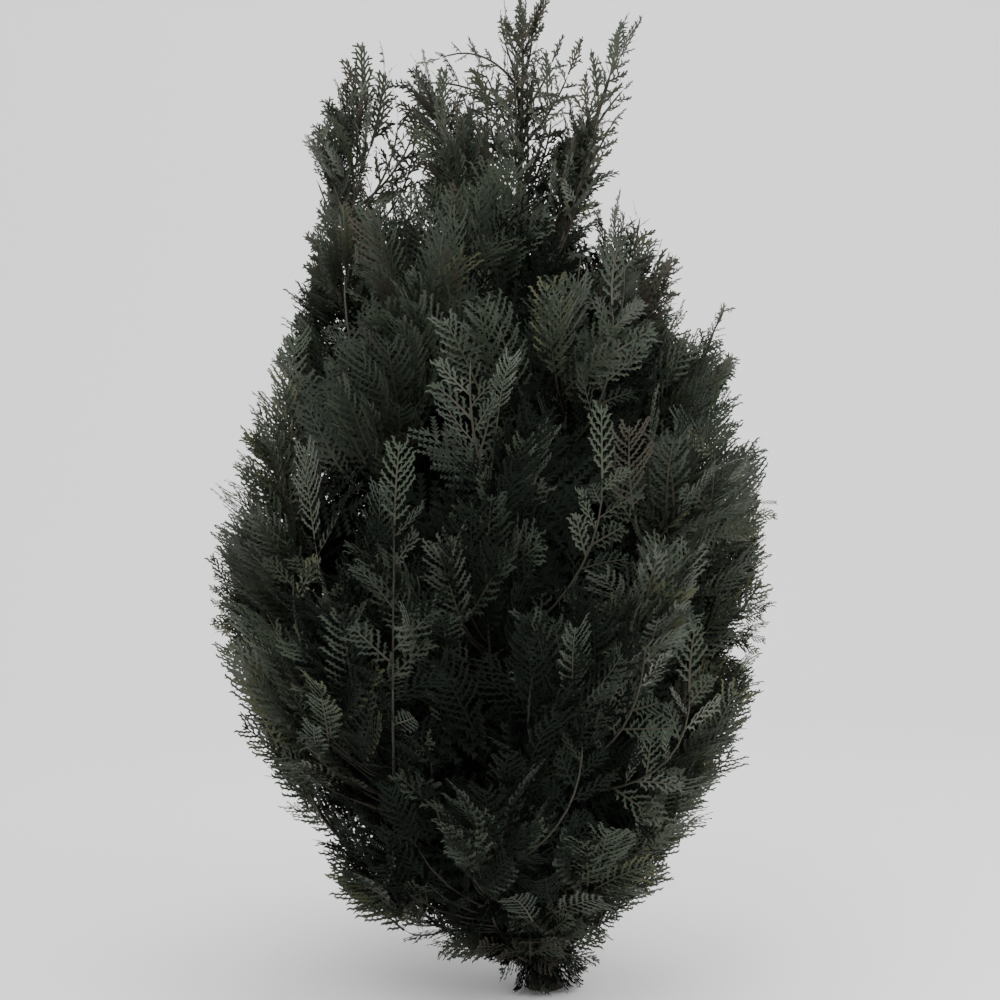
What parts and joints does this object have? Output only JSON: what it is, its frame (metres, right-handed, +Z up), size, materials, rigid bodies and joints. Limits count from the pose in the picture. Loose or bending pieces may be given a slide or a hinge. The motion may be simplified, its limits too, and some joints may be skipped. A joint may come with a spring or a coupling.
{
  "type": "cypress tree",
  "caption": "Young garden cypress with flat, ferny, dark green sprays held upright all round a slender trunk, from the ground to a loose, open top.",
  "frame": {"origin": "middle of the flat cut under the trunk, at the level of the ground", "axes": "+Z up the trunk, -Y towards the front of the tree, +X to its right as seen from the front"},
  "size_m": [0.7983, 0.8031, 1.5064],
  "materials": {
    "bark": "rough, thin and fibrous",
    "foliage": "matt, with a faint waxy sheen"
  },
  "bodies": {
    "root": {"trunk": "bark", "skirt_bough_1": "bark", "skirt_bough_2": "bark", "skirt_bough_3": "bark", "skirt_bough_4": "bark", "skirt_bough_5": "bark", "belly_bough_1": "bark", "belly_bough_2": "bark", "belly_bough_3": "bark", "belly_bough_4": "bark", "belly_bough_5": "bark", "shoulder_bough_1": "bark", "shoulder_bough_2": "bark", "shoulder_bough_3": "bark", "shoulder_bough_4": "bark", "shoulder_bough_5": "bark", "upper_bough_1": "bark", "upper_bough_2": "bark", "upper_bough_3": "bark", "upper_bough_4": "bark", "upper_bough_5": "bark", "left_plume_bough": "bark", "outer_plume_bough": "bark", "right_plume_bough": "bark", "edge_plume_bough": "bark", "right_shoot_bough": "bark", "skirt_foliage_1": "foliage", "skirt_foliage_2": "foliage", "skirt_foliage_3": "foliage", "skirt_foliage_4": "foliage", "skirt_foliage_5": "foliage", "belly_foliage_1": "foliage", "belly_foliage_2": "foliage", "belly_foliage_3": "foliage", "belly_foliage_4": "foliage", "belly_foliage_5": "foliage", "shoulder_foliage_1": "foliage", "shoulder_foliage_2": "foliage", "shoulder_foliage_3": "foliage", "shoulder_foliage_4": "foliage", "shoulder_foliage_5": "foliage", "upper_foliage_1": "foliage", "upper_foliage_2": "foliage", "upper_foliage_3": "foliage", "upper_foliage_4": "foliage", "upper_foliage_5": "foliage", "left_plume_foliage": "foliage", "outer_plume_foliage": "foliage", "right_plume_foliage": "foliage", "edge_plume_foliage": "foliage", "right_shoot_foliage": "foliage", "foot_right_foliage": "foliage", "foot_left_foliage": "foliage", "heart_front_foliage": "foliage", "heart_back_foliage": "foliage", "leader_left_foliage": "foliage", "leader_right_foliage": "foliage", "leader_tip_foliage": "foliage"}
  },
  "joints": []
}
